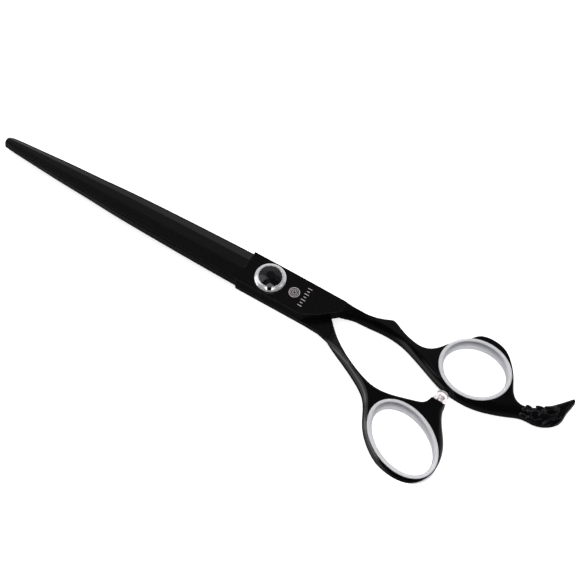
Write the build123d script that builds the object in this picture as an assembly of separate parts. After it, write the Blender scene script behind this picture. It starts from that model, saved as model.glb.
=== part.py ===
from build123d import *
import math
import os

# Hair cutting shears, 7 inch class, shut.  Millimetres.
# Origin: on the pivot axis, in the plane where the two blades meet.
# +X runs from the blade tips to the handles, +Y to the finger-ring side,
# +Z out of the front face (the side that carries the tension dial).
# The finger blade is the front half (+Z), the thumb blade the rear half (-Z).

# ---------------------------------------------------------------- shared dimensions
HALF_T = 2.90          # thickness of each half at the pivot block
FACE_GAP = 0.02        # each mating face stands this far off the meeting plane
SPLIT_X = 24.0         # welded joint between forged blade and cast handle

# pivot screw, from the rear head up to the thread
SCREW_HEAD_D, SCREW_HEAD_BOT, SCREW_HEAD_TOP = 6.6, -2.84, -1.66
NECK_D, NECK_FLAT = 5.0, 4.1          # double-D neck, keyed in the thumb blade
BEARING_D = 4.0                       # plain section that runs in the bushing
KEY_D, KEY_FLAT = 3.6, 2.9            # double-D for the washers
KEY_TOP = 3.10                        # the key stays in the click plate over its whole lift
THREAD_D = 2.8
SCREW_TOP = 4.00                      # clear of the floor of the dial's bore

# pivot stack, from the meeting plane forwards
BLADE_WASHER_OD, BLADE_WASHER_ID, BLADE_WASHER_T = 9.4, 5.8, 0.28
POCKET_D, POCKET_Z = 8.7, 1.30        # pocket in the front blade for the washers
STACK_GAP = 0.01                      # between one stacked piece and the next
BUSH_OD, BUSH_BOT, BUSH_TOP = 5.6, 0.34, POCKET_Z - STACK_GAP
FRICTION_BOT = POCKET_Z + STACK_GAP
FRICTION_TOP = FRICTION_BOT + 0.25
THRUST_BOT = FRICTION_TOP + STACK_GAP
THRUST_TOP = THRUST_BOT + 0.30
SPRING_BOT = THRUST_TOP + STACK_GAP
SPRING_TOP = SPRING_BOT + 0.50
CLICK_BOT = SPRING_TOP + STACK_GAP
CLICK_TOP = CLICK_BOT + 0.45

# ball race between click plate and dial
DETENT_COUNT, DETENT_RING_R = 16, 3.1
DETENT_Z = CLICK_TOP + 0.14           # centres of the groove and pits
GROOVE_R, PIT_R = 0.36, 0.42          # section radius of the groove, radius of a pit
BALL_R, BALL_COUNT, BALL_Z = 0.31, 2, 2.965

GEM_D, GEM_BOT, GEM_TOP = 7.35, 4.30, 5.20
GEM_CLEAR = 0.02                      # stone and cup each stand this far off GEM_D / 2

# bumper on the thumb handle, its axis along Y
BUMP_X, BUMP_SEAT_Y, BUMP_TOP_Y = 64.0, -8.60, -4.42
SEAT_HALF = 2.40                      # half width of the flat seat
STUD_R, STUD_BOT_Y, STUD_TOP_Y = 0.75, -10.9, -6.3
STUD_HEAD_R, STUD_HEAD_T = 0.90, 0.92
STUD_CLEAR = 0.03


# ---------------------------------------------------------------- helpers
def save(name, shape):
    if isinstance(shape, list):
        shape = Compound(children=list(shape))
    shape.label = name
    export_step(shape, f"parts/{name}.step")


def largest(shape):
    """Largest solid of a boolean result."""
    return max(shape.solids(), key=lambda solid: solid.volume)


def polygon(points):
    return make_face(Polyline(*points, close=True).edges())


def joined_face(*curves):
    """Face bounded by curves that meet end to end."""
    return make_face([edge for curve in curves for edge in curve.edges()])


def x_slab(x0, x1):
    """Box from x0 to x1, wider and higher than a blade."""
    return Pos((x0 + x1) / 2, 0, 0) * Box(x1 - x0, 60, 16)


def cyl(d, z0, z1):
    return Pos(0, 0, (z0 + z1) / 2) * Cylinder(d / 2, z1 - z0)


def double_d(d, flat, z0, z1):
    """Cylinder with two flats, the distance flat apart across Y."""
    return cyl(d, z0, z1) & Pos(0, 0, (z0 + z1) / 2) * Box(d + 2, flat, z1 - z0)


def washer(outer_d, inner_d, z0, z1):
    return largest(cyl(outer_d, z0, z1) - cyl(inner_d, z0 - 1, z1 + 1))


def keyed_disc(z0, z1):
    """Disc with a hole that fits the screw's key."""
    clear = 0.06
    return cyl(8.3, z0, z1) - double_d(KEY_D + clear, KEY_FLAT + clear, z0 - 1, z1 + 1)


def circle_points(radius, count, z, shift=0.0):
    """Evenly spaced points about the Z axis, turned by shift steps."""
    angles = [2 * math.pi * (i + shift) / count for i in range(count)]
    return [(radius * math.cos(a), radius * math.sin(a), z) for a in angles]


def oval_solid(oval, grow, z0, z1):
    face = Ellipse(oval["long_r"] + grow, oval["short_r"] + grow)
    face = Pos(*oval["centre"], z0) * Rot(0, 0, oval["turn"]) * face
    return extrude(face, z1 - z0, dir=(0, 0, 1))


def soften(shape, pick, radii):
    """Round the picked edges with the first of the radii that the shape takes."""
    for radius in radii:
        # a radius too large for the edges makes the fillet fail: go on to the next
        try:
            rounded = fillet(pick(shape), radius)
            if rounded.is_valid and abs(rounded.volume - shape.volume) < 0.2 * shape.volume:
                return largest(rounded)
        except Exception:
            continue
    return shape


# ---------------------------------------------------------------- blades
PLUNGE_X = -8.8        # where the ground blade starts, in front of the pivot block
TIP_X = -96.8
TIP_LENGTH, TIP_HALF_W = 1.7, 2.35   # half axes of the ellipse that rounds the tip
HOLLOW = 0.22          # depth of the hollow grind on the inner face
BLOCK_DRAFT = 11.5     # degrees, the block walls lean in towards the outer face

# x, half width to the spine, half width to the cutting edge, thickness at the spine
BLADE = [
    (-99.0, 1.35, 1.20, 1.05), (-96.8, 1.90, 1.70, 1.18), (-90.4, 2.62, 2.35, 1.48),
    (-83.7, 3.12, 2.82, 1.74), (-70.3, 4.02, 3.68, 2.12), (-57.0, 4.83, 4.48, 2.40),
    (-43.7, 5.46, 5.10, 2.62), (-30.3, 5.90, 5.54, 2.78), (-16.9, 6.22, 5.84, 2.87),
    (-8.8, 6.35, 5.96, 2.90), (-4.0, 6.38, 6.00, 2.90),
]

# x, y of the block outlines on the meeting plane, seen from the front;
# they run past both ends of the block
FRONT_BLOCK = [
    (-14.0, -6.37), (-6.0, -6.40), (12.6, -6.46), (14.6, -6.10), (19.2, -3.45),
    (22.1, -0.95), (25.4, 1.90), (30.5, 6.05), (29.0, 6.02), (6.0, 6.28), (-14.0, 6.28),
]
REAR_BLOCK = [
    (-14.0, 6.37), (-6.0, 6.40), (11.5, 6.46), (13.6, 6.05), (18.4, 3.10),
    (22.3, -0.50), (24.0, -2.30), (27.5, -6.0), (28.5, -9.9), (24.0, -7.55),
    (20.6, -6.72), (15.5, -6.46), (6.0, -6.40), (-14.0, -6.28),
]


def blade_section(x, spine, edge, thick):
    """Section of a blade face down: spine on -Y, edge on +Y, inner face at FACE_GAP."""
    scale = thick / HALF_T
    return polygon([(x, y, z) for y, z in [
        (-spine, FACE_GAP),
        (-spine + 0.02, 0.55 * scale),
        (-spine + 0.30, thick - 0.42 * scale),
        (-spine + 0.66, thick),
        (-0.20 * spine, thick),
        (0.42 * edge, thick * 0.86),
        (edge - 0.62 * scale - 0.05, thick * 0.44),
        (edge, FACE_GAP + 0.10),
        (edge, FACE_GAP),
        (edge - 0.60 * scale, FACE_GAP),
        (0.0, FACE_GAP + HOLLOW * scale),
        (-spine + 1.10 * scale, FACE_GAP),
    ]])


def ground_blade():
    blade = loft([blade_section(*row) for row in BLADE], ruled=False)
    tip_end = TIP_X + TIP_LENGTH
    tip = Pos(tip_end, 0, 0) * extrude(Ellipse(TIP_LENGTH, TIP_HALF_W), 8, both=True)
    blade = blade & (tip + x_slab(tip_end, 10))
    return blade & x_slab(-150, PLUNGE_X)


def pivot_block(points):
    face = Plane.XY.offset(FACE_GAP) * polygon(points)
    block = extrude(face, HALF_T - FACE_GAP, dir=(0, 0, 1), taper=BLOCK_DRAFT)
    return block & x_slab(PLUNGE_X, SPLIT_X)


def make_finger_blade():
    body = ground_blade() + pivot_block(FRONT_BLOCK)
    body -= cyl(BUSH_OD + 0.03, -1, 4)
    body -= cyl(BLADE_WASHER_OD + 0.08, -1, FACE_GAP + BLADE_WASHER_T)
    body -= cyl(POCKET_D, POCKET_Z, 4)
    return largest(body)


def make_thumb_blade():
    # built with its outer face on +Z and Y reversed, then turned over
    body = ground_blade() + pivot_block([(x, -y) for x, y in REAR_BLOCK])
    body = Rot(180, 0, 0) * body
    body -= double_d(NECK_D + 0.04, NECK_FLAT + 0.04, -4, 1)
    body -= cyl(SCREW_HEAD_D + 0.08, -4, SCREW_HEAD_TOP)
    return largest(body)


# ---------------------------------------------------------------- handles
RING_TOP, RING_BOT = 2.40, -2.60     # faces of the cast rings
HANDLE_RADII = (0.9, 0.7, 0.5, 0.35)

# ovals: half axes and turn in degrees about Z
FINGER_HOLE = dict(centre=(68.52, 6.22), long_r=11.03, short_r=9.50, turn=-4.0)
THUMB_HOLE = dict(centre=(61.30, -25.80), long_r=13.45, short_r=8.88, turn=-31.6)

# the underside of the thumb ring rises along the hole's long axis; it is at
# its stated height TAPER_FROM past the hole's centre
TAPER_FROM, TAPER_RISE, TAPER_RUN = 2.0, 0.145, 18.0

# x, y of the plan outlines; each list is one spline and starts where the last one ends,
# except for the straight seat of the bumper between the two thumb lists
FINGER_UP = [
    (SPLIT_X, 6.02), (28.99, 5.58), (32.29, 5.87), (35.52, 6.73), (37.50, 7.62),
    (39.29, 8.30), (41.11, 7.74), (44.64, 6.16), (48.46, 5.16), (51.33, 5.08),
    (53.88, 6.25), (55.71, 8.30), (57.90, 11.55), (61.00, 14.50), (64.00, 17.20),
    (68.58, 18.45), (73.18, 17.35), (76.78, 14.38), (79.49, 10.75), (81.06, 7.78),
    (82.60, 5.42), (84.70, 4.00), (87.78, 4.16), (90.26, 5.45), (92.96, 7.74),
    (96.14, 11.35), (98.10, 13.90),
]
FINGER_TIP = [(98.1, 13.9), (98.75, 14.35), (99.3, 13.6)]
FINGER_LOW = [
    (99.3, 13.6), (99.08, 11.60), (98.72, 9.11), (98.64, 5.84), (95.96, 2.31),
    (91.59, 0.77), (87.86, 0.63), (85.23, -0.24), (83.20, -1.15), (79.32, -2.62),
    (74.75, -3.90), (69.79, -4.37), (65.48, -4.03), (62.31, -3.34), (58.18, -1.91),
    (53.52, 0.04), (49.75, 1.59), (45.32, 3.13), (40.29, 3.79), (32.87, 3.30),
    (28.38, 2.44), (25.80, 1.28), (SPLIT_X, 0.69),
]
THUMB_UP = [
    (SPLIT_X, -2.30), (25.68, -3.97), (28.43, -6.37), (33.39, -9.86), (39.15, -12.76),
    (45.33, -14.62), (50.69, -14.26), (54.60, -13.25), (58.10, -12.23), (60.67, -10.98),
    (BUMP_X - SEAT_HALF, BUMP_SEAT_Y),
]
THUMB_ROUND = [
    (BUMP_X + SEAT_HALF, BUMP_SEAT_Y), (66.66, -10.23), (67.66, -12.82), (69.36, -15.72),
    (71.78, -19.35), (73.65, -23.40), (74.50, -27.50), (74.20, -31.50), (72.50, -34.70),
    (69.80, -36.80), (66.20, -37.60), (61.40, -37.10), (56.05, -34.75), (51.40, -30.85),
    (48.06, -26.60), (45.72, -22.11), (43.22, -18.47), (39.75, -15.77), (33.97, -12.46),
    (28.46, -9.70), (SPLIT_X, -7.55),
]

# x, z of the side profiles that limit the handles in height
FINGER_SIDE = [
    (SPLIT_X, FACE_GAP), (25.2, FACE_GAP), (26.6, -0.45), (28.4, -1.25), (30.8, -2.0),
    (34.0, -2.45), (40.0, RING_BOT), (84.0, RING_BOT), (92.0, -2.35), (100.5, -1.5),
    (100.5, 1.2), (92.0, 2.1), (84.0, RING_TOP), (44.0, RING_TOP), (36.0, 2.55),
    (30.0, 2.85), (27.0, HALF_T), (SPLIT_X, HALF_T),
]
THUMB_SIDE = [
    (SPLIT_X, -HALF_T), (27.0, -HALF_T), (31.0, -2.8), (40.0, RING_BOT), (80.0, RING_BOT),
    (80.0, RING_TOP), (42.0, RING_TOP), (35.0, 2.2), (31.0, 1.6), (28.2, 0.8),
    (26.2, 0.15), (25.0, -FACE_GAP), (SPLIT_X, -FACE_GAP),
]


def below_taper(z):
    """Everything under the thumb ring's rising underside, whose stated height is z."""
    x0, x1 = TAPER_FROM - TAPER_RUN, TAPER_FROM + TAPER_RUN
    rise = TAPER_RISE * TAPER_RUN
    face = polygon([(x0, -40, z - rise), (x1, -40, z + rise), (x1, -40, z - 6), (x0, -40, z - 6)])
    solid = extrude(face, 80, dir=(0, 1, 0))
    return Pos(*THUMB_HOLE["centre"], 0) * Rot(0, 0, THUMB_HOLE["turn"]) * solid


def handle_edges(shape):
    """Edges to round: all but those at the welded joint and the upright ones."""
    picked = []
    for edge in shape.edges():
        box = edge.bounding_box()
        at_joint = box.max.X - SPLIT_X < 0.05
        upright = box.max.Z - box.min.Z > 3.0 and box.max.X - box.min.X < 1.0
        if not (at_joint or upright):
            picked.append(edge)
    return picked


def handle(plan, side, hole, cut=None):
    body = extrude(Plane.XY.offset(-3.2) * plan, 6.4, dir=(0, 0, 1))
    limit = extrude(polygon([(x, -60, z) for x, z in side]), 120, dir=(0, 1, 0))
    body = largest(body & limit)
    if cut is not None:
        body = largest(body - cut)
    body = soften(body, handle_edges, HANDLE_RADII)
    return largest(body - oval_solid(hole, 0, -5, 5))


def make_finger_handle():
    plan = joined_face(
        Spline(*FINGER_UP), Spline(*FINGER_TIP), Spline(*FINGER_LOW),
        Polyline(FINGER_LOW[-1], FINGER_UP[0]),
    )
    return handle(plan, FINGER_SIDE, FINGER_HOLE)


def make_thumb_handle():
    plan = joined_face(
        Spline(*THUMB_UP), Polyline(THUMB_UP[-1], THUMB_ROUND[0]),
        Spline(*THUMB_ROUND), Polyline(THUMB_ROUND[-1], THUMB_UP[0]),
    )
    body = handle(plan, THUMB_SIDE, THUMB_HOLE, below_taper(RING_BOT))
    # hole for the bumper stud, down from the seat
    hole_bot = STUD_BOT_Y - 0.1
    stud_hole = Pos(BUMP_X, (hole_bot + BUMP_SEAT_Y) / 2, 0) * Rot(90, 0, 0) * Cylinder(
        STUD_R + STUD_CLEAR, BUMP_SEAT_Y - hole_bot + 0.02
    )
    body = largest(body - stud_hole)
    # trimmed to the taper again, now that the edges are rounded
    return largest(body - below_taper(RING_BOT))


# ---------------------------------------------------------------- soft ring inserts
FINGER_BORE = dict(centre=(68.48, 6.20), long_r=9.95, short_r=8.25, turn=-3.0)
THUMB_BORE = dict(centre=(61.10, -25.55), long_r=12.35, short_r=8.10, turn=-31.6)
INSERT_TOP, INSERT_BOT = 2.78, -2.90
INSERT_LIP = 0.55      # overlap of the lips over the ring faces
INSERT_CLEAR = 0.03    # between insert and hole wall
LIP_GAP = 0.02         # between a lip and the ring face


def ring_insert(hole, bore, tapered=False):
    body = oval_solid(hole, -INSERT_CLEAR, INSERT_BOT, INSERT_TOP)
    body += oval_solid(hole, INSERT_LIP, RING_TOP + LIP_GAP, INSERT_TOP)
    lip = oval_solid(hole, INSERT_LIP, INSERT_BOT, RING_BOT - LIP_GAP)
    if tapered:
        lip += oval_solid(hole, INSERT_LIP, INSERT_BOT, 0) & below_taper(RING_BOT - LIP_GAP)
    body += lip
    body -= oval_solid(bore, 0, INSERT_BOT - 1, INSERT_TOP + 1)
    if tapered:
        body -= below_taper(INSERT_BOT)
    end_heights = [INSERT_TOP] if tapered else [INSERT_TOP, INSERT_BOT]

    def end_edges(shape):
        return [
            edge for edge in shape.edges()
            if any(abs(edge.center().Z - z) < 0.01 for z in end_heights)
        ]

    return soften(largest(body), end_edges, (0.25, 0.18, 0.12))


# ---------------------------------------------------------------- bumper
def revolve_bumper(profile):
    """Revolve (radius, y) points about the bumper axis."""
    face = polygon([(BUMP_X + r, y, 0) for r, y in profile])
    return revolve(face, Axis((BUMP_X, 0, 0), (0, 1, 0)), 360)


def make_bumper():
    base = BUMP_SEAT_Y + 0.02
    cavity_r = STUD_HEAD_R + STUD_CLEAR
    cavity_top = STUD_TOP_Y + STUD_CLEAR
    cavity_bot = STUD_TOP_Y - STUD_HEAD_T - STUD_CLEAR
    return revolve_bumper([
        (0.0, cavity_top), (cavity_r, cavity_top), (cavity_r, cavity_bot),
        (STUD_R + STUD_CLEAR, cavity_bot), (STUD_R + STUD_CLEAR, base),
        (2.30, base), (2.38, base + 0.15), (2.38, base + 0.55), (2.20, base + 0.75),
        (2.02, base + 0.95), (2.02, BUMP_TOP_Y - 1.35), (1.88, BUMP_TOP_Y - 0.80),
        (1.50, BUMP_TOP_Y - 0.35), (0.90, BUMP_TOP_Y - 0.08), (0.0, BUMP_TOP_Y),
    ])


def make_bumper_stud():
    head_bot = STUD_TOP_Y - STUD_HEAD_T
    return revolve_bumper([
        (0.0, STUD_BOT_Y), (STUD_R - 0.2, STUD_BOT_Y), (STUD_R, STUD_BOT_Y + 0.2),
        (STUD_R, head_bot), (STUD_HEAD_R, head_bot), (STUD_HEAD_R, STUD_TOP_Y - 0.12),
        (STUD_HEAD_R - 0.12, STUD_TOP_Y), (0.0, STUD_TOP_Y),
    ])


# ---------------------------------------------------------------- pivot stack
def revolve_z(profile):
    """Revolve (radius, z) points about the pivot axis."""
    return revolve(polygon([(r, 0, z) for r, z in profile]), Axis.Z, 360)


def make_pivot_screw():
    # each section starts inside the one below it
    screw = (
        cyl(SCREW_HEAD_D, SCREW_HEAD_BOT, SCREW_HEAD_TOP - 0.02)
        + double_d(NECK_D, NECK_FLAT, SCREW_HEAD_TOP - 0.3, -0.04)
        + cyl(BEARING_D, -0.3, FRICTION_BOT)
        + double_d(KEY_D, KEY_FLAT, 1.2, KEY_TOP)
        + cyl(THREAD_D, KEY_TOP - 0.2, SCREW_TOP)
    )
    head_rim = [
        edge for edge in screw.edges()
        if abs(edge.center().Z - SCREW_HEAD_BOT) < 0.01 and edge.length > 15
    ]
    screw = largest(chamfer(head_rim, 0.35))
    # screwdriver slot on the back of the head
    slot = Pos(0, 0, SCREW_HEAD_BOT + 0.2) * Rot(0, 0, 35) * Box(8, 0.9, 0.9)
    return largest(screw - slot)


def make_spring_washer():
    """Dished washer, its inner rim forward."""
    inner_r, outer_r, thick = 2.05, 4.0, 0.18
    return revolve_z([
        (inner_r, SPRING_TOP - thick), (outer_r, SPRING_BOT),
        (outer_r, SPRING_BOT + thick), (inner_r, SPRING_TOP),
    ])


def make_click_plate():
    """Keyed plate with a shallow ball race and a ring of detent pits in it."""
    plate = keyed_disc(CLICK_BOT, CLICK_TOP)
    plate -= Pos(0, 0, DETENT_Z) * Torus(DETENT_RING_R, GROOVE_R)
    for point in circle_points(DETENT_RING_R, DETENT_COUNT, DETENT_Z):
        plate -= Pos(*point) * Sphere(PIT_R)
    return largest(plate)


BALL_POINTS = circle_points(DETENT_RING_R, BALL_COUNT, BALL_Z)


def make_click_balls():
    return [Pos(*point) * Sphere(BALL_R) for point in BALL_POINTS]


def make_tension_dial():
    """Bezel nut: stepped rim, cup for the stone, blind bore, one slot in the rim."""
    rim_r, rim_bot = 4.95, 3.06
    skirt_r, skirt_bot = 3.95, CLICK_TOP + 0.02
    bore_r, bore_top = THREAD_D / 2 + 0.03, SCREW_TOP + 0.16
    mouth_r, mouth_top = KEY_D / 2 + 0.06, KEY_TOP + 0.20
    cup_r, cup_floor = GEM_D / 2 + GEM_CLEAR, 4.26
    dial = revolve_z([
        (bore_r, mouth_top), (mouth_r, mouth_top), (mouth_r, skirt_bot),
        (skirt_r, skirt_bot), (skirt_r, rim_bot), (rim_r - 0.15, rim_bot),
        (rim_r, rim_bot + 0.15), (rim_r, rim_bot + 0.62), (rim_r - 0.18, rim_bot + 0.86),
        (rim_r - 0.62, rim_bot + 1.22), (cup_r + 0.10, rim_bot + 1.42),
        (cup_r, rim_bot + 1.36), (cup_r, cup_floor), (0.0, cup_floor),
        (0.0, bore_top), (bore_r, bore_top),
    ])
    dial -= Rot(0, 0, -64.0) * Pos(4.12, 0, 4.45) * Box(1.30, 1.35, 1.5)
    # ball pockets, open to the rear
    pocket_r = BALL_R + 0.03
    for point in BALL_POINTS:
        dial -= Pos(*point) * Sphere(pocket_r)
        dial -= Pos(*point) * Pos(0, 0, -0.2) * Cylinder(pocket_r, 0.4)
    return largest(dial)


def make_dial_gem():
    """Faceted stone: 16-sided girdle, and a crown rising over a mid ring to a table."""
    gem_r, girdle_top = GEM_D / 2 - GEM_CLEAR, 4.50
    table_r, mid_r, mid_z = 1.05, 2.55, 4.98
    sides = 8
    base = circle_points(gem_r, 2 * sides, GEM_BOT, shift=0.5)
    girdle = extrude(polygon(base), girdle_top - GEM_BOT, dir=(0, 0, 1))

    rim = circle_points(gem_r, 2 * sides, girdle_top, shift=0.5)
    mid = circle_points(mid_r, sides, mid_z, shift=0.5)
    table = circle_points(table_r, sides, GEM_TOP)
    facets = []
    for i in range(sides):
        j = (i + 1) % sides
        # mid point i lies between table points i and j
        rim_a, rim_b, rim_c = (rim[(2 * i + k) % (2 * sides)] for k in range(3))
        facets += [
            (table[i], mid[i], table[j]),
            (table[j], mid[i], mid[j]),
            (mid[i], rim_a, rim_b),
            (mid[i], rim_b, mid[j]),
            (mid[j], rim_b, rim_c),
        ]
    facets += [table, rim[::-1]]
    crown = Solid(Shell([polygon(facet) for facet in facets]))
    # guards a crown that does not close into a sound solid: a plain loft replaces it
    try:
        gem = largest(girdle + crown)
        assert gem.is_valid and gem.volume > 10
    except Exception:
        gem = largest(girdle + loft([
            Plane.XY.offset(girdle_top) * RegularPolygon(gem_r, sides),
            Plane.XY.offset(GEM_TOP) * RegularPolygon(table_r, sides),
        ], ruled=True))
    return gem


# ---------------------------------------------------------------- build and export
PIECES = dict(
    finger_blade=make_finger_blade(),
    finger_handle=make_finger_handle(),
    thumb_blade=make_thumb_blade(),
    thumb_handle=make_thumb_handle(),
    finger_ring_insert=ring_insert(FINGER_HOLE, FINGER_BORE),
    thumb_ring_insert=ring_insert(THUMB_HOLE, THUMB_BORE, tapered=True),
    bumper=make_bumper(),
    bumper_stud=make_bumper_stud(),
    pivot_screw=make_pivot_screw(),
    pivot_bushing=washer(BUSH_OD, BEARING_D + 0.06, BUSH_BOT, BUSH_TOP),
    blade_washer=washer(BLADE_WASHER_OD, BLADE_WASHER_ID, 0.0, BLADE_WASHER_T),
    friction_washer=washer(8.5, BEARING_D + 0.3, FRICTION_BOT, FRICTION_TOP),
    thrust_washer=largest(keyed_disc(THRUST_BOT, THRUST_TOP)),
    spring_washer=make_spring_washer(),
    click_plate=make_click_plate(),
    click_balls=make_click_balls(),
    tension_dial=make_tension_dial(),
    dial_gem=make_dial_gem(),
)

os.makedirs("parts", exist_ok=True)
for name, piece in PIECES.items():
    save(name, piece)
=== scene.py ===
"""Scissors with black handles, soft ring inserts, a bumper and a chrome tension dial.

They lie flat in XY with the pivot on the Z axis. The blades point to -X and the handles to +X,
the finger ring on the +Y side and the thumb ring on the -Y side. Shapes are in millimetres and
become metres in make_object; materials, lights and camera are in metres.
"""
import bpy, bmesh, math
import numpy as np
from mathutils import Vector, Matrix, kdtree

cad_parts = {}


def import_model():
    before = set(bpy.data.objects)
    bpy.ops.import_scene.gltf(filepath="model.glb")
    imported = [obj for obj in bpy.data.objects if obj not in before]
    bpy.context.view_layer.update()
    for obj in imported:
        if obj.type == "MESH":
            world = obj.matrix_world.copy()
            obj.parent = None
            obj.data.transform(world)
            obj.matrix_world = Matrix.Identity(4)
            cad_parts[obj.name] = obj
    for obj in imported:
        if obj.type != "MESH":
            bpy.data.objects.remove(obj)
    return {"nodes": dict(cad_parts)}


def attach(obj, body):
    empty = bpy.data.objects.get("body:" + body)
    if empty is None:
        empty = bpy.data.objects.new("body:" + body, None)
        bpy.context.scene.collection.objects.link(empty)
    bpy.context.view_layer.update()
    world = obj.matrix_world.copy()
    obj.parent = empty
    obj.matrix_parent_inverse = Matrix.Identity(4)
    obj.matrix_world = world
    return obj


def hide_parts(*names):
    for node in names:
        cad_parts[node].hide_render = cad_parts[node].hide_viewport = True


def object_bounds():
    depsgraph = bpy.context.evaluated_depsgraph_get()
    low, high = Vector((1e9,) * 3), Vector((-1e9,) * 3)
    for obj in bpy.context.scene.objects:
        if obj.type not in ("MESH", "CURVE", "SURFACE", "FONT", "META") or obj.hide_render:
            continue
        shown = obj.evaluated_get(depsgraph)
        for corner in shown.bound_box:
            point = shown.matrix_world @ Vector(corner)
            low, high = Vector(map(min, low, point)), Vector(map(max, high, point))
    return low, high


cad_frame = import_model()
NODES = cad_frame["nodes"]
CAD_BOX = [list(v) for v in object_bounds()]
MM = 0.001
JOINT_X = 24.0                 # mm, where the blades' steel meets the handles

# camera turn about Z, height above the horizon and roll (radians)
AZIMUTH, ELEVATION, ROLL = 0.45076891, 1.05243354, 0.09746900
TOWARD = (math.sin(AZIMUTH), -math.cos(AZIMUTH), 0)      # level, towards the camera
RIGHT = (math.cos(AZIMUTH), math.sin(AZIMUTH), 0)        # level, to the camera's right


# ------------------------------------------------------------------ node graphs
class Graph:
    """A cleared node tree with short calls; a value may be a number or another node's output."""

    def __init__(self, owner):
        owner.use_nodes = True
        self.tree = owner.node_tree
        self.tree.nodes.clear()

    def new(self, kind, **settings):
        node = self.tree.nodes.new("ShaderNode" + kind)
        for name, value in settings.items():
            setattr(node, name, value)
        return node

    def put(self, value, socket):
        if hasattr(value, "is_output"):
            self.tree.links.new(value, socket)
        else:
            socket.default_value = value

    def math(self, operation, first, second=0.0):
        node = self.new("Math", operation=operation)
        self.put(first, node.inputs[0])
        self.put(second, node.inputs[1])
        return node.outputs[0]

    def dot(self, first, second):
        node = self.new("VectorMath", operation="DOT_PRODUCT")
        self.put(first, node.inputs[0])
        self.put(second, node.inputs[1])
        return node.outputs["Value"]

    def remap(self, value, source, target=(0.0, 1.0), **settings):
        node = self.new("MapRange", **settings)
        self.put(value, node.inputs["Value"])
        node.inputs["From Min"].default_value, node.inputs["From Max"].default_value = source
        node.inputs["To Min"].default_value, node.inputs["To Max"].default_value = target
        return node.outputs["Result"]

    def mix(self, factor, low, high, data_type="RGBA"):
        node = self.new("Mix", data_type=data_type)
        sockets, result = {"RGBA": ((0, 6, 7), 2), "FLOAT": ((0, 2, 3), 0)}[data_type]
        for socket, value in zip(sockets, (factor, low, high)):
            self.put(value, node.inputs[socket])
        return node.outputs[result]


class Surface(Graph):
    """A material made of one Principled shader, textured in object space."""

    def __init__(self, name):
        self.material = bpy.data.materials.new(name)
        super().__init__(self.material)
        output = self.new("OutputMaterial")
        self.bsdf = self.new("BsdfPrincipled")
        self.put(self.bsdf.outputs[0], output.inputs["Surface"])
        self.position = self.new("TexCoord").outputs["Object"]

    def finish(self, **inputs):
        for name, value in inputs.items():
            self.put(value, self.bsdf.inputs[name.replace("_", " ")])
        return self.material

    def noise(self, scale, detail, rough):
        """Noise with scale cells per metre along each axis."""
        mapping = self.new("Mapping")
        mapping.inputs["Scale"].default_value = scale
        self.put(self.position, mapping.inputs["Vector"])
        node = self.new("TexNoise")
        node.inputs["Scale"].default_value = 1.0
        node.inputs["Detail"].default_value = detail
        node.inputs["Roughness"].default_value = rough
        self.put(mapping.outputs[0], node.inputs["Vector"])
        return node.outputs["Fac"]

    def even_noise(self, scale, detail, rough):
        return self.noise((scale, scale, scale), detail, rough)

    def spread(self, noise, low, high):
        """Stretches the middle of a noise to run from low to high."""
        return self.remap(noise, source=(0.3, 0.7), target=(low, high))

    def along(self, axis):
        node = self.new("SeparateXYZ")
        self.put(self.position, node.inputs[0])
        return node.outputs[axis]

    def normal(self):
        return self.new("NewGeometry").outputs["Normal"]

    def rounded_normal(self, radius):
        node = self.new("Bevel", samples=4)
        node.inputs["Radius"].default_value = radius
        return node.outputs[0]

    def edge(self, radius):
        """1 on convex and concave edges, 0 on flats."""
        agreement = self.dot(self.rounded_normal(radius), self.normal())
        return self.remap(agreement, source=(0.995, 0.90))

    def bump(self, height, strength, distance, radius=None):
        node = self.new("Bump")
        node.inputs["Strength"].default_value = strength
        node.inputs["Distance"].default_value = distance
        self.put(height, node.inputs["Height"])
        if radius:
            self.put(self.rounded_normal(radius), node.inputs["Normal"])
        return node.outputs[0]


# ------------------------------------------------------------------ materials
def black_steel(name, brushed, rough):
    """Black coating over ground steel: faint grinding lines, cloudiness, and a painted highlight
    that makes the edges lighter.
    """
    m = Surface(name)
    lines = m.noise(scale=(900, 9000, 9000), detail=2.0, rough=0.6)
    cloud = m.even_noise(scale=60, detail=3.0, rough=0.5)
    fine = m.even_noise(scale=5200, detail=2.0, rough=0.5)
    # the painted edge highlight is left off at the dressed weld between blade and handle
    from_joint = m.math("ABSOLUTE", m.math("SUBTRACT", m.along("X"), JOINT_X * MM))
    off_joint = m.remap(from_joint, source=(0.0003, 0.0006))
    # edge mask: carries the painted edge highlight in the colour, and smoother roughness on the
    # edges
    edge = m.math("MULTIPLY", m.edge(radius=0.00022), off_joint)
    # roughness: each term's share, with the edges smoother
    lines_share, cloud_share, edge_share = 0.05 * brushed, 0.06, 0.05
    roughness = m.math("ADD", m.math("MULTIPLY", lines, lines_share),
                       m.math("MULTIPLY", cloud, cloud_share))
    roughness = m.math("ADD", roughness, rough - 0.05)
    roughness = m.math("SUBTRACT", roughness, m.math("MULTIPLY", edge, edge_share))
    height = m.math("ADD", m.math("MULTIPLY", lines, 0.5 * brushed),
                    m.math("MULTIPLY", fine, 0.5))
    return m.finish(
        # painted highlight: edges get a lighter base colour
        Base_Color=m.mix(edge, (0.0012, 0.0011, 0.0014, 1), (0.024, 0.0225, 0.026, 1)),
        Roughness=roughness, IOR=1.5,
        Normal=m.bump(height, strength=0.10, distance=0.000006, radius=0.00009))


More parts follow.
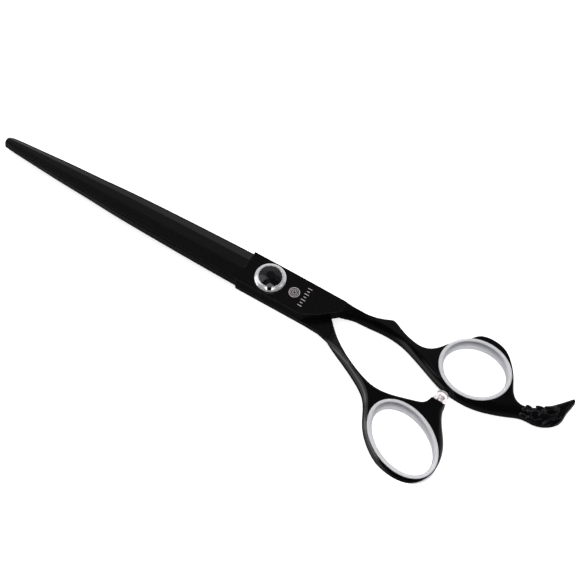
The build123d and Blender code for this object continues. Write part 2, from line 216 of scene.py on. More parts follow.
def soft_insert(name):
    m = Surface(name)
    fine = m.even_noise(scale=3500, detail=2.0, rough=0.6)
    cloud = m.even_noise(scale=160, detail=2.0, rough=0.5)
    colour = m.mix(cloud, (0.68, 0.68, 0.71, 1), (0.76, 0.76, 0.79, 1))
    # painted shade: darker near the lip, where the dark steel behind would show through the
    # translucent wall, and most on walls that face the camera
    height = m.along("Z")
    painted_lip_shade = m.math("MULTIPLY", m.remap(height, source=(0.0004, 0.0024)),
                  m.remap(height, source=(0.0026, 0.00276), target=(1.0, 0.15)))
    facing = m.dot(m.normal(), TOWARD)
    painted_lip_shade = m.math("MULTIPLY", painted_lip_shade, m.remap(facing, source=(0.15, 0.80), target=(0.18, 1.0)))
    return m.finish(
        # painted shade: mixes the lip mask towards dark grey
        Base_Color=m.mix(painted_lip_shade, colour, (0.20, 0.20, 0.22, 1)),
        Roughness=m.spread(fine, low=0.32, high=0.46), IOR=1.42, Transmission_Weight=0.35,
        Normal=m.bump(fine, strength=0.12, distance=0.00001),
        Subsurface_Weight=0.5, Subsurface_Radius=(0.0016, 0.0016, 0.0018), Subsurface_Scale=1.0)


def clear_plastic(name):
    m = Surface(name)
    fine = m.even_noise(scale=2500, detail=2.0, rough=0.5)
    return m.finish(
        Base_Color=(0.93, 0.88, 0.89, 1), Roughness=m.spread(fine, low=0.05, high=0.12),
        IOR=1.46, Transmission_Weight=0.92,
        Normal=m.bump(fine, strength=0.06, distance=0.00001))


def chrome(name):
    """Satin chrome: part mirror, part soft bloom, so it stays bright under the flags."""
    m = Surface(name)
    swirl = m.noise(scale=(2500, 2500, 9000), detail=2.0, rough=0.6)
    return m.finish(
        # painted highlight: edges get a lighter base colour
        Base_Color=m.mix(m.edge(radius=0.0001), (0.86, 0.86, 0.88, 1), (0.93, 0.93, 0.95, 1)),
        Metallic=0.74, Roughness=m.spread(swirl, low=0.15, high=0.21),
        Normal=m.bump(swirl, strength=0.03, distance=0.000004))


def steel(name, tint=(0.55, 0.55, 0.57, 1), rough=0.28, metallic=1.0):
    m = Surface(name)
    turned = m.noise(scale=(1200, 1200, 14000), detail=3.0, rough=0.6)
    return m.finish(
        # painted highlight: edges get a lighter base colour
        Base_Color=m.mix(m.edge(radius=0.0001), tint, (0.8, 0.8, 0.8, 1)),
        Metallic=metallic, Roughness=m.spread(turned, low=rough - 0.06, high=rough + 0.08),
        Normal=m.bump(turned, strength=0.12, distance=0.00001, radius=0.00008))


def polymer(name):
    m = Surface(name)
    fine = m.even_noise(scale=2500, detail=3.0, rough=0.6)
    return m.finish(
        Base_Color=m.mix(fine, (0.66, 0.66, 0.63, 1), (0.8, 0.8, 0.78, 1)),
        Roughness=m.spread(fine, low=0.42, high=0.6),
        Normal=m.bump(fine, strength=0.2, distance=0.00001, radius=0.00008))


def stone(name):
    m = Surface(name)
    inner = m.even_noise(scale=700, detail=2.0, rough=0.5)
    return m.finish(
        Base_Color=m.mix(inner, (0.001, 0.001, 0.0015, 1), (0.004, 0.004, 0.005, 1)),
        Roughness=m.spread(inner, low=0.04, high=0.09), IOR=1.62)


BLADE = black_steel("blade_black", brushed=1.0, rough=0.22)
HANDLE = black_steel("handle_black", brushed=0.2, rough=0.16)
INSERT = soft_insert("insert_soft")
CLEAR = clear_plastic("bumper_clear")
CHROME = chrome("dial_chrome")
STEEL = steel("plain_steel")
BRONZE = steel("bearing_bronze", tint=(0.45, 0.28, 0.12, 1), rough=0.4)
POLYMER = polymer("white_polymer")
STONE = stone("black_stone")
MARK = steel("etched_mark", tint=(0.42, 0.36, 0.37, 1), rough=0.5, metallic=0.25)

for node_name, node_material in dict(
    finger_blade=BLADE, thumb_blade=BLADE, finger_handle=HANDLE, thumb_handle=HANDLE,
    finger_ring_insert=INSERT, thumb_ring_insert=INSERT, bumper=CLEAR, bumper_stud=STEEL,
    pivot_screw=STEEL, pivot_bushing=BRONZE, blade_washer=POLYMER, friction_washer=POLYMER,
    thrust_washer=STEEL, spring_washer=STEEL, click_plate=STEEL, click_balls=STEEL,
    tension_dial=CHROME, dial_gem=STONE,
).items():
    materials = NODES[node_name].data.materials
    materials.clear()
    materials.append(node_material)


# ------------------------------------------------------------------ plan curves
def spline(points, step=0.12):
    """Natural cubic through the points, chord-length parameter, sampled evenly."""
    knots = np.array(points, float)
    chord = np.concatenate([[0], np.cumsum(np.linalg.norm(np.diff(knots, axis=0), axis=1))])
    n = len(knots)
    if n == 2:
        t = np.linspace(0, 1, max(2, int(chord[-1] / step)))[:, None]
        return knots[0] * (1 - t) + knots[1] * t
    gap = np.diff(chord)
    slope = np.diff(knots, axis=0) / gap[:, None]
    system = np.zeros((n, n))
    target = np.zeros((n, 2))
    system[0, 0] = system[-1, -1] = 1
    for i in range(1, n - 1):
        system[i, i - 1:i + 2] = gap[i - 1], 2 * (gap[i - 1] + gap[i]), gap[i]
        target[i] = 6 * (slope[i] - slope[i - 1])
    bend = np.linalg.solve(system, target)
    at = np.linspace(0, chord[-1], max(3, int(chord[-1] / step)))
    k = np.clip(np.searchsorted(chord, at, side="right") - 1, 0, n - 2)
    ahead, behind, width = (chord[k + 1] - at)[:, None], (at - chord[k])[:, None], gap[k][:, None]
    return ((bend[k] * ahead ** 3 + bend[k + 1] * behind ** 3) / (6 * width)
            + (knots[k] / width - bend[k] * width / 6) * ahead
            + (knots[k + 1] / width - bend[k + 1] * width / 6) * behind)


def ellipse(centre, semi_long, semi_short, turn, n=720):
    """Points of an ellipse whose long axis is turned by turn degrees from X."""
    t = np.linspace(0, 2 * math.pi, n, endpoint=False)
    angle = math.radians(turn)
    x, y = semi_long * np.cos(t), semi_short * np.sin(t)
    return np.stack([centre[0] + x * math.cos(angle) - y * math.sin(angle),
                     centre[1] + x * math.sin(angle) + y * math.cos(angle)], 1)


def circle(radius, n, turn=0, centre=(0, 0)):
    """n points of a circle, started turn steps round from +X."""
    return [(centre[0] + radius * math.cos(2 * math.pi * (k + turn) / n),
             centre[1] + radius * math.sin(2 * math.pi * (k + turn) / n)) for k in range(n)]


def table(x, rows):
    """Straight-line lookup in rows of (x, value)."""
    rows = np.array(rows, float)
    return np.interp(x, rows[:, 0], rows[:, 1])


def ease(x, start, end):
    """Smooth step from 0 at start to 1 at end."""
    t = np.clip((x - start) / (end - start), 0, 1)
    return t * t * (3 - 2 * t)


def curve_distance(x, y, points):
    """Distance to an open polyline, positive on the right of its travel."""
    nearest = np.full(len(x), 1e9)
    side = np.zeros(len(x))
    for start, end in zip(points[:-1], points[1:]):
        edge = end - start
        t = ((x - start[0]) * edge[0] + (y - start[1]) * edge[1]) / (edge @ edge)
        t = np.clip(t, 0, 1)
        dx, dy = x - start[0] - edge[0] * t, y - start[1] - edge[1] * t
        distance = np.hypot(dx, dy)
        closer = distance < nearest
        nearest = np.where(closer, distance, nearest)
        side = np.where(closer, np.sign(dx * edge[1] - dy * edge[0]), side)
    return nearest * side


class Loop:
    """Closed plan curve, kept counter-clockwise, with attributes at its points."""

    def __init__(self, points, attributes=None):
        self.points = points
        self.attributes = attributes or {}
        x, y = points.T
        if np.sum(x * np.roll(y, -1) - np.roll(x, -1) * y) < 0:
            self.points = points[::-1].copy()
            self.attributes = {k: v[::-1].copy() for k, v in self.attributes.items()}
        self.tree = kdtree.KDTree(len(self.points))
        for i, (x, y) in enumerate(self.points):
            self.tree.insert((x, y, 0), i)
        self.tree.balance()
        self.edges = np.roll(self.points, -1, 0) - self.points
        self.lengths = np.linalg.norm(self.edges, axis=1, keepdims=True)
        self.inward = np.stack([-self.edges[:, 1], self.edges[:, 0]], 1) / self.lengths
        self.corner_inward = self.inward + np.roll(self.inward, 1, 0)

    def to_edge(self, place, i):
        """Distance, signed side, edge and fraction along it of the nearest point on edge i."""
        t = np.sum((place - self.points[i]) * self.edges[i], 1) / (self.lengths[i, 0] ** 2)
        t = np.clip(t, 0, 1)
        offset = place - (self.points[i] + self.edges[i] * t[:, None])
        following = (i + 1) % len(self.points)
        side = np.where(
            (t > 0) & (t < 1), np.sum(offset * self.inward[i], 1),
            np.where(t <= 0, np.sum(offset * self.corner_inward[i], 1),
                     np.sum(offset * self.corner_inward[following], 1)))
        return np.linalg.norm(offset, axis=1), side, i, t

    def query(self, x, y):
        """Signed distance (positive inside the loop) and attributes of the nearest point."""
        n = len(self.points)
        place = np.stack([x, y], 1)
        nearest = np.fromiter((self.tree.find((a, b, 0))[1] for a, b in place.tolist()),
                              int, len(place))
        before = self.to_edge(place, (nearest - 1) % n)
        after = self.to_edge(place, nearest)
        closer = after[0] < before[0]
        distance, side, i, t = (np.where(closer, a, b) for a, b in zip(after, before))
        values = {k: v[i] * (1 - t) + v[(i + 1) % n] * t for k, v in self.attributes.items()}
        return np.where(side >= 0, distance, -distance), values


# ------------------------------------------------------------------ meshes
def surface_net(field, origin, step):
    """Vertices and quads of the surface field = 0 on a regular grid; field < 0 is inside."""
    inside = field < 0
    nx, ny, nz = field.shape
    corners = list(np.ndindex(2, 2, 2))
    count = sum(inside[i:nx - 1 + i, j:ny - 1 + j, k:nz - 1 + k].astype(np.int8)
                for i, j, k in corners)
    mixed = (count > 0) & (count < 8)
    cells = np.argwhere(mixed)
    ids = -np.ones(mixed.shape, np.int64)
    ids[mixed] = np.arange(len(cells))

    # each vertex is the mean of the crossings on its cell's twelve edges
    total = np.zeros((len(cells), 3))
    crossings = np.zeros(len(cells))
    for start in corners:
        for axis in range(3):
            if start[axis]:
                continue
            end = np.array(start)
            end[axis] = 1
            first = field[tuple((cells + start).T)]
            last = field[tuple((cells + end).T)]
            crossed = (first < 0) != (last < 0)
            point = np.tile(np.array(start, float), (len(cells), 1))
            point[:, axis] += np.where(crossed, first / np.where(crossed, first - last, 1), 0)
            total += np.where(crossed[:, None], point, 0)
            crossings += crossed
    verts = (cells + total / crossings[:, None]) * step + np.array(origin)

    # one quad round every grid edge that crosses the surface
    quads = []
    for axis in range(3):
        low, high = [slice(1, -1)] * 3, [slice(1, -1)] * 3
        low[axis], high[axis] = slice(0, -1), slice(1, None)
        low_inside = inside[tuple(low)]
        edges = np.argwhere(low_inside != inside[tuple(high)])
        offset = np.array([1, 1, 1])
        offset[axis] = 0
        cell = edges + offset
        across, up = np.eye(3, dtype=int)[[(axis + 1) % 3, (axis + 2) % 3]]
        around = [cell, cell - across, cell - across - up, cell - up]
        quad = np.stack([ids[tuple(c.T)] for c in around], 1)
        quads.append(np.where(low_inside[tuple(edges.T)][:, None], quad, quad[:, ::-1]))
    return verts, np.concatenate(quads)


def project(verts, field, probe=0.02, rounds=2, longest=0.12):
    """Newton steps of at most the longest length on to field = 0."""
    for _ in range(rounds):
        value = field(verts)
        slope = np.stack([field(verts + axis * probe) - value for axis in np.eye(3)], 1) / probe
        steepness = np.maximum(np.sum(slope * slope, 1), 1e-6)
        move = -value[:, None] * slope / steepness[:, None]
        length = np.linalg.norm(move, axis=1, keepdims=True)
        verts = verts + move * np.minimum(1, longest / np.maximum(length, 1e-9))
    return verts


def make_object(name, verts, faces, material, smooth=True):
    """Object from millimetre vertices; faces are an array of quads or a list of any polygons."""
    mesh = bpy.data.meshes.new(name)
    verts = np.asarray(verts, float) * MM
    if isinstance(faces, np.ndarray):
        count, sides = faces.shape
        mesh.vertices.add(len(verts))
        mesh.vertices.foreach_set("co", verts.astype(np.float32).ravel())
        mesh.loops.add(count * sides)
        mesh.loops.foreach_set("vertex_index", faces.astype(np.int32).ravel())
        mesh.polygons.add(count)
        starts = np.arange(0, count * sides, sides, dtype=np.int32)
        mesh.polygons.foreach_set("loop_start", starts)
        mesh.update(calc_edges=True)
    else:
        mesh.from_pydata([tuple(v) for v in verts], [], faces)
        mesh.update()
    mesh.validate()
    if smooth:
        mesh.shade_smooth()
    obj = link_object(name, mesh)
    mesh.materials.append(material)
    return obj


def link_object(name, data):
    obj = bpy.data.objects.new(name, data)
    bpy.context.scene.collection.objects.link(obj)
    return obj


def make_solid(name, verts, faces, material, smooth=True):
    """Closed object with consistent outward normals."""
    obj = make_object(name, verts, faces, material, smooth)
    bm = bmesh.new()
    bm.from_mesh(obj.data)
    bmesh.ops.recalc_face_normals(bm, faces=bm.faces)
    if bm.calc_volume(signed=True) < 0:
        bmesh.ops.reverse_faces(bm, faces=bm.faces)
    bm.to_mesh(obj.data)
    bm.free()
    return obj


def crease(obj, degrees):
    obj.data.set_sharp_from_angle(angle=math.radians(degrees))


def lathe(profile, n):
    """Solid turned about Z from (radius, height) points that start and end on the axis."""
    verts, rings, faces = [], [], []
    for radius, height in np.array(profile, float):
        ring = [(0, 0)] if radius < 1e-6 else circle(radius, n)
        rings.append(range(len(verts), len(verts) + len(ring)))
        verts += [(x, y, height) for x, y in ring]
    for low, high in zip(rings[:-1], rings[1:]):
        for k in range(n):
            following = (k + 1) % n
            if len(low) == 1:
                faces.append((low[0], high[k], high[following]))
            elif len(high) == 1:
                faces.append((low[k], high[0], low[following]))
            else:
                faces.append((low[k], high[k], high[following], low[following]))
    return np.array(verts), faces


def prism(outline, bottom, top):
    """Upright prism on a plan outline."""
    n = len(outline)
    verts = [(x, y, z) for z in (bottom, top) for x, y in outline]
    faces = [tuple(range(n))[::-1], tuple(range(n, 2 * n))]
    faces += [(k, (k + 1) % n, (k + 1) % n + n, k + n) for k in range(n)]
    return verts, faces


def band(outer, inner, bottom, top):
    """Upright ring between two outlines with equal numbers of points."""
    n = len(outer)
    verts = [(x, y, z) for z in (bottom, top) for ring in (outer, inner) for x, y in ring]
    outer_low, inner_low, outer_top, inner_top = 0, n, 2 * n, 3 * n
    faces = []
    for a in range(n):
        b = (a + 1) % n
        faces += [(outer_low + a, outer_low + b, outer_top + b, outer_top + a),
                  (inner_low + b, inner_low + a, inner_top + a, inner_top + b),
                  (outer_top + a, outer_top + b, inner_top + b, inner_top + a),
                  (inner_low + a, inner_low + b, outer_low + b, outer_low + a)]
    return verts, faces


# ------------------------------------------------------------------ handle plan data (mm)
# Outlines are (x, y) points. "Upper" is the +Y side, "lower" the -Y side.
FINGER_UPPER = [
    (24.00, 6.02), (28.99, 5.58), (32.29, 5.87), (35.52, 6.73), (37.50, 7.62), (39.29, 8.30),
    (41.11, 7.74), (44.64, 6.16), (48.46, 5.16), (51.33, 5.09), (53.88, 6.25), (55.71, 8.23),
    (58.14, 11.38), (61.30, 14.10), (63.93, 17.26), (68.58, 18.40), (73.18, 17.35),
    (76.78, 14.38), (79.49, 10.75), (81.06, 7.78), (82.60, 5.42), (84.70, 4.00), (87.78, 4.15),
    (90.26, 5.45), (92.96, 7.74), (96.14, 11.35), (98.10, 13.90)]
FINGER_LOWER = [
    (99.30, 13.60), (99.09, 11.60), (98.72, 9.11), (98.64, 5.84), (95.96, 2.32), (91.59, 0.77),
    (87.86, 0.63), (85.23, -0.24), (83.20, -1.15), (79.32, -2.62), (74.75, -3.90),
    (69.79, -4.37), (65.48, -4.03), (62.31, -3.34), (58.18, -1.91), (53.52, 0.04),
    (49.75, 1.59), (45.32, 3.13), (40.29, 3.79), (32.87, 3.30), (28.38, 2.44), (25.80, 1.28),
    (24.00, 0.69)]
FINGER_TIP = [FINGER_UPPER[-1], (98.75, 14.35), FINGER_LOWER[0]]
THUMB_UPPER = [
    (24.00, -2.30), (25.68, -3.97), (28.43, -6.37), (33.39, -9.85), (39.15, -12.76),
    (45.33, -14.62), (50.69, -14.26), (54.60, -13.23), (58.09, -12.20), (60.65, -10.96),
    (61.60, -8.60)]
# from the bumper's boss round the ring and back along the shank's lower side
THUMB_LOWER = [
    (66.40, -8.60), (66.68, -10.22), (67.69, -12.81), (69.43, -15.68), (71.82, -19.32),
    (73.59, -23.40), (74.25, -27.52), (73.79, -31.33), (72.19, -34.41), (69.64, -36.49),
    (66.19, -37.27), (61.52, -36.78), (56.10, -34.60), (51.41, -30.84), (48.06, -26.60),
    (45.72, -22.11), (43.22, -18.47), (39.75, -15.77), (33.97, -12.46), (28.46, -9.70),
    (24.00, -7.55)]
FINGER_HOLE = dict(centre=(68.52, 6.22), semi_long=11.03, semi_short=9.50, turn=-4.0)
THUMB_HOLE = dict(centre=(61.30, -25.80), semi_long=13.45, semi_short=8.88, turn=-31.6)
# crest along the finger handle's top face
RIDGE = spline([
    (29.4, 3.75), (31.0, 3.9), (36.0, 4.9), (39.6, 4.8), (43.4, 4.3), (47.5, 3.35), (51.8, 2.2),
    (56.2, 0.55), (60.7, -1.45), (63.7, -2.5), (66.5, -2.95)], step=0.3)
# line past which the finger handle's top face steps down
SHOULDER = spline([(22.0, -0.55), (24.0, 1.25), (25.1, 2.4), (28.8, 4.8), (31.5, 6.6)], step=0.3)
SHOULDER_DROP, SHOULDER_FADE = 0.36, 0.55
JOINT_REACH = 0.586            # width of the rounding at the joint
HOLE_REACH, HOLE_POWER = 0.35, 5.0
RING_BOTTOM = -2.6
GRID = 0.15
# grid limits: x, y and z, each from and to
FINGER_BOX = ((23.0, 100.6), (-6.0, 19.4), (-3.3, 3.5))
THUMB_BOX = ((23.0, 76.0), (-38.8, -1.0), (-3.3, 3.1))

# Cast leaf scroll on the finger rest.
SCROLL_START = 84.5            # x
# leaves: centre, semi-axes, turn in plan (degrees)
LEAVES = [
    ((94.0, 6.5, 1.35), (2.7, 1.35, 1.00), 42), ((95.9, 3.9, 0.55), (3.3, 0.95, 1.25), 57),
    ((92.6, 4.3, 1.60), (1.9, 0.62, 0.75), 68), ((91.2, 5.6, 1.75), (1.5, 0.50, 0.55), 15),
    ((90.6, 3.4, 1.80), (1.7, 0.62, 0.60), 30), ((89.0, 2.5, 1.85), (1.4, 0.55, 0.62), -28),
    ((87.6, 2.6, 2.00), (1.2, 0.45, 0.50), 35), ((92.6, 1.9, 0.70), (1.7, 0.72, 1.20), 30),
    ((90.2, 1.1, 0.80), (1.5, 0.62, 1.15), 12), ((87.9, 0.9, 0.90), (1.3, 0.55, 1.05), 4),
    ((97.4, 6.3, 0.30), (1.9, 0.85, 1.05), 74), ((88.2, 4.0, 1.95), (1.1, 0.40, 0.45), 5)]
# raised stems: centre, radius of the arc, tube radius, from and to angle (degrees)
STEMS = [
    ((94.2, 6.9, 1.75), 2.35, 0.34, -150, 35), ((91.6, 3.3, 1.80), 1.75, 0.28, 20, 165),
    ((89.6, 1.5, 1.55), 1.45, 0.26, 30, 170), ((93.3, 6.0, 2.05), 0.85, 0.26, 60, 290)]
# round-bottomed cut lines: from, to, radius
CUTS = [
    ((94.9, 9.9, 1.95), (98.9, 6.9, 1.55), 0.30), ((91.4, 7.2, 2.10), (93.3, 4.6, 1.95), 0.26),
    ((90.9, 0.6, 1.20), (93.6, 3.4, 1.75), 0.24), ((88.6, 0.2, 1.30), (90.3, 2.7, 2.05), 0.22),
    ((94.2, 1.9, 0.60), (97.0, 5.0, 1.35), 0.24), ((86.6, 0.9, 1.60), (88.2, 3.1, 2.15), 0.20)]
CUT_LIFT = 0.25
VEIN_DEPTH, VEIN_WIDTH = 0.10, 0.16


def leaf_scroll(x, y, z, field):
    """Adds the leaves and stems to the field, then takes the cut lines away."""
    for centre, size, turn in LEAVES:
        angle = math.radians(turn)
        dx, dy = x - centre[0], y - centre[1]
        along = (dx * math.cos(angle) + dy * math.sin(angle)) / size[0]
        across = (-dx * math.sin(angle) + dy * math.cos(angle)) / size[1]
        up = (z - centre[2]) / size[2]
        leaf = (np.sqrt(along * along + across * across + up * up + 1e-9) - 1) * min(size) * 0.9
        vein = VEIN_DEPTH * np.exp(-(across / VEIN_WIDTH) ** 2)
        field = np.minimum(field, leaf + vein * (leaf < 0.3))
    for centre, radius, tube, start, end in STEMS:
        dx, dy = x - centre[0], y - centre[1]
        middle = 0.5 * (start + end)
        swing = (np.degrees(np.arctan2(dy, dx)) - middle + 180) % 360 - 180
        angle = np.radians(middle + np.clip(swing, -(end - start) / 2, (end - start) / 2))
        stem = np.sqrt((dx - radius * np.cos(angle)) ** 2 + (dy - radius * np.sin(angle)) ** 2
                       + (z - centre[2]) ** 2) - tube
        field = np.minimum(field, stem)
    for start, end, radius in CUTS:
        run = np.array(end) - np.array(start)
        dx, dy, dz = x - start[0], y - start[1], z - start[2] - CUT_LIFT
        t = np.clip((dx * run[0] + dy * run[1]) / (run[0] ** 2 + run[1] ** 2), 0, 1)
        cut = np.sqrt((dx - run[0] * t) ** 2 + (dy - run[1] * t) ** 2
                      + (dz - run[2] * t) ** 2) - radius
        field = np.maximum(field, -cut)
    return field


# ------------------------------------------------------------------ handles
# Rounding attributes along an outline: reach is how far it runs in from the edge (reach_below
# under the waist), across and upward are the powers of its curve, below is both powers under
# the waist. A power of 1 is a straight bevel and a high power is a tight corner.
def past_joint(lower_side, leaving, returning):
    """Outline runs beyond the joint, which the joint plane cuts off."""
    leaving, returning = spline(leaving, step=0.2), spline(returning, step=0.2)
    end = np.linspace(leaving[-1], returning[0], 60)
    return [(leaving, lower_side), (end, "end"), (returning, "upper")]


def join(runs):
    """Points of a closed outline and the side label of each."""
    points = np.concatenate([run[:-1] for run, _ in runs])
    sides = np.concatenate([[side] * (len(run) - 1) for run, side in runs])
    return points, sides


def smoothed_loop(points, width, **attributes):
    """Loop whose attributes are averaged over width points, so they change gently."""
    kernel = np.ones(width) / width
    return Loop(points, {
        name: np.convolve(np.concatenate([v[-width:], v, v[:width]]), kernel, "same")[width:-width]
        for name, v in attributes.items()})


def finger_outline():
    points, sides = join(
        [(spline(FINGER_UPPER), "upper"), (spline(FINGER_TIP, step=0.05), "tip"),
         (spline(FINGER_LOWER), "lower")]
        + past_joint("lower", [(24.0, 0.69), (22.1, -0.95), (20.0, -2.8)],
                     [(20.0, 6.10), (24.0, 6.02)]))
    x, y = points.T
    upper = sides == "upper"
    upper_reach = table(x, [
        (24, JOINT_REACH), (27, .62), (31, .75), (50, .8), (55, 0.6), (58, 0.45), (80, 0.45),
        (84, 1.0), (90, 1.5), (96, 1.5), (98, 1.0)])
    lower_reach = table(x, [
        (24, JOINT_REACH), (26, .9), (28, 1.2), (30, 1.4), (60, 1.5), (66, 1.7), (74, 1.9),
        (80, 2.2), (86, 2.2), (92, 2.4), (97, 2.0), (99, 1.0)])
    # along the ridge the lower rounding reaches up to the crest
    to_ridge = np.min(np.hypot(x[:, None] - RIDGE[:, 0], y[:, None] - RIDGE[:, 1]), 1)
    beside_ridge = ease(x, 28.5, 31) * (1 - ease(x, 64, 67))
    lower_reach = lower_reach * (1 - beside_ridge) + to_ridge * beside_ridge
    reach = np.where(upper, upper_reach, lower_reach)
    reach[sides == "tip"] = 0.9
    soft = ease(x, 24.0, 30.0)
    lower_across = 1 + table(x, [
        (24, 0), (28, .15), (33, .12), (58, .12), (66, .35), (76, .8), (84, 1.0)])
    return smoothed_loop(
        points, 25, reach=reach, reach_below=reach,
        across=np.where(upper, 1 + 1.6 * soft, lower_across),
        upward=np.where(upper, 1 + 1.6 * soft, 1 + soft), below=1 + 4.0 * soft)


def finger_faces(x, y):
    """Heights of the top face, the bottom face and the waist between them."""
    past_shoulder = np.maximum(curve_distance(x, y, SHOULDER[::4]), 0)
    top = table(x, [(24, 2.9), (30, 2.9), (40, 2.94), (50, 2.86), (60, 2.76), (84, 2.76),
                    (92, 2.3), (99, 1.6)])
    top = top - SHOULDER_DROP * (1 - np.exp(-past_shoulder / SHOULDER_FADE))
    left_of_ridge = np.maximum(-curve_distance(x, y, RIDGE[::2]), 0)
    fall = table(x, [(31, 0.0), (35, .10), (48, .13), (56, .08), (61, 0.0)])
    top = top - fall * left_of_ridge
    bottom = table(x, [
        (24, .02), (25.2, .0), (26.6, -.45), (28.4, -1.25), (30.8, -2.0), (34, -2.45),
        (40, RING_BOTTOM), (84, RING_BOTTOM), (92, -2.3), (99, -1.6)])
    waist = table(x, [(24, .05), (25.2, .05), (28.4, -.1), (34, -.2), (84, -.1), (99, 0)])
    return top, bottom, waist


def thumb_outline():
    points, sides = join(
        [(spline(THUMB_UPPER), "upper"),
         (np.linspace(THUMB_UPPER[-1], THUMB_LOWER[0], 40), "boss"),
         (spline(THUMB_LOWER), "lower")]
        + past_joint("lower", [(24.0, -7.55), (20.6, -6.72), (18.0, -6.55)],
                     [(18.0, 3.0), (22.3, -0.50), (24.0, -2.30)]))
    x, y = points.T
    upper, lower = sides == "upper", sides == "lower"
    soft = ease(x, 24.0, 30.0)
    upper_reach = table(x, [(24, JOINT_REACH), (28, .7), (35, .9), (55, 1.0), (60, .9), (62, .5)])
    shank_reach = JOINT_REACH + (1.5 - JOINT_REACH) * soft
    reach = np.where(upper, upper_reach, np.where(lower & (x < 47), shank_reach, 1.7))
    reach[lower & (x > 60) & (y > -16)] = 1.1
    reach[sides == "boss"] = 0.35
    ring = lower * ease(x, 46, 54)
    power = np.where(upper, 1 + 1.6 * soft, 1 + soft)
    return smoothed_loop(
        points, 31, reach=reach, reach_below=reach * (1 - ring) + 1.35 * ring,
        across=power, upward=power, below=1 + (4.0 - 2.7 * ring) * soft)


def thumb_taper(x, y):
    """Distance along the ring's long axis towards its far end, from just past its middle."""
    angle = math.radians(THUMB_HOLE["turn"])
    centre = THUMB_HOLE["centre"]
    along = (x - centre[0]) * math.cos(angle) + (y - centre[1]) * math.sin(angle)
    return np.maximum(along - 2.0, 0)


def thumb_bottom(x, y):
    level = table(x, [(24, -2.9), (27, -2.9), (31, -2.8), (40, RING_BOTTOM), (80, RING_BOTTOM)])
    return level + 0.145 * thumb_taper(x, y)


def thumb_faces(x, y):
    """Heights of the top face, the bottom face and the waist between them."""
    top = table(x, [(24, -.02), (25, -.02), (26.2, .15), (28.2, .8), (31, 1.6), (35, 2.2),
                    (42, 2.4), (80, 2.4)])
    waist = table(x, [(24, -.05), (25, -.06), (28.2, -.1), (80, -.1)])
    return top, thumb_bottom(x, y), waist + 0.075 * thumb_taper(x, y)


def rounded_rim(plan, depth, z, reach, reach_below, across, upward, below):
    """Field of a slab with a rounded rim; depth is the plan distance in from the rim."""
    waist = plan["waist"]
    above = z >= waist
    half = np.where(above, np.maximum(plan["top"] - waist, 0.03),
                    np.maximum(waist - plan["bottom"], 0.03))
    inset = np.clip(1 - depth / np.where(above, reach, reach_below), 0, 4)
    across = np.where(above, across, below)
    upward = np.where(above, upward, below)
    return (inset ** across + (np.abs(z - waist) / half) ** upward - 1) * half / upward


class Handle:
    """Handle as a field, negative inside; whatever depends on x and y alone is its plan."""

    def __init__(self, outline, hole, faces, ornament=None):
        self.outline, self.hole = outline, Loop(ellipse(**hole))
        self.faces, self.ornament = faces, ornament

    def plan(self, x, y):
        depth, rim = self.outline.query(x, y)
        into_hole, _ = self.hole.query(x, y)
        top, bottom, waist = self.faces(x, y)
        return dict(y=y, depth=depth, hole_depth=-into_hole, top=top, bottom=bottom,
                    waist=waist, **rim)

    def value(self, plan, x, z):
        rim = {k: plan[k] for k in ("reach", "reach_below", "across", "upward", "below")}
        outside = rounded_rim(plan, plan["depth"], z, **rim)
        hole = rounded_rim(plan, plan["hole_depth"], z, HOLE_REACH, HOLE_REACH,
                           HOLE_POWER, HOLE_POWER, HOLE_POWER)
        field = np.maximum(outside, hole)
        if self.ornament:
            field = np.where(x > SCROLL_START, self.ornament(x, plan["y"], z, field), field)
        return np.maximum(field, JOINT_X - x)

    def field(self, verts):
        x, y, z = verts.T
        return self.value(self.plan(x, y), x, z)


def sculpt(name, handle, box):
    xs, ys, zs = (np.arange(start, end, GRID) for start, end in box)
    x, y = (a.ravel() for a in np.meshgrid(xs, ys, indexing="ij"))
    plan = {k: v[:, None] for k, v in handle.plan(x, y).items()}
    field = handle.value(plan, np.broadcast_to(x[:, None], (x.size, len(zs))), zs[None, :])
    field = field.reshape(len(xs), len(ys), len(zs))
    verts, quads = surface_net(field, [start for start, _ in box], GRID)
    verts = project(verts, handle.field)
    low, high = np.array(CAD_BOX[0]) / MM + 0.01, np.array(CAD_BOX[1]) / MM - 0.01
    verts = np.clip(verts, low, high)
    # flatten the cut end just clear of the joint plane
    at_joint = np.abs(verts[:, 0] - JOINT_X) < 0.03
    verts[at_joint, 0] = JOINT_X + 0.002
    return make_object(name, verts, quads, HANDLE)


# ------------------------------------------------------------------ ring inserts
# section: (distance from the hole's edge towards the opening, z)
INSERT_PROFILE = [
    (-0.55, 2.42), (-0.55, 2.58), (-0.50, 2.69), (-0.38, 2.755), (-0.20, 2.775), (0.05, 2.775),
    (0.28, 2.74), (0.48, 2.64), (0.66, 2.46), (0.80, 2.20), (0.92, 1.85), (1.00, 1.45),
    (1.04, 1.00), (1.045, 0.50), (1.02, 0.0), (0.97, -0.50), (0.89, -1.00), (0.78, -1.50),
    (0.64, -1.95), (0.47, -2.35), (0.28, -2.65), (0.08, -2.82), (-0.15, -2.89), (-0.36, -2.885),
    (-0.50, -2.82), (-0.55, -2.72), (-0.55, -2.625), (-0.25, -2.625), (0.03, -2.625),
    (0.03, -1.3), (0.03, 0.0), (0.03, 1.3), (0.03, 2.42), (-0.25, 2.42)]
RIB_DEPTH, RIB_STATIONS, RIB_HALF_HEIGHT = 0.018, 5.0, 2.2
FIT_Z = 0.9                    # below this the section is scaled to meet the handle's bottom


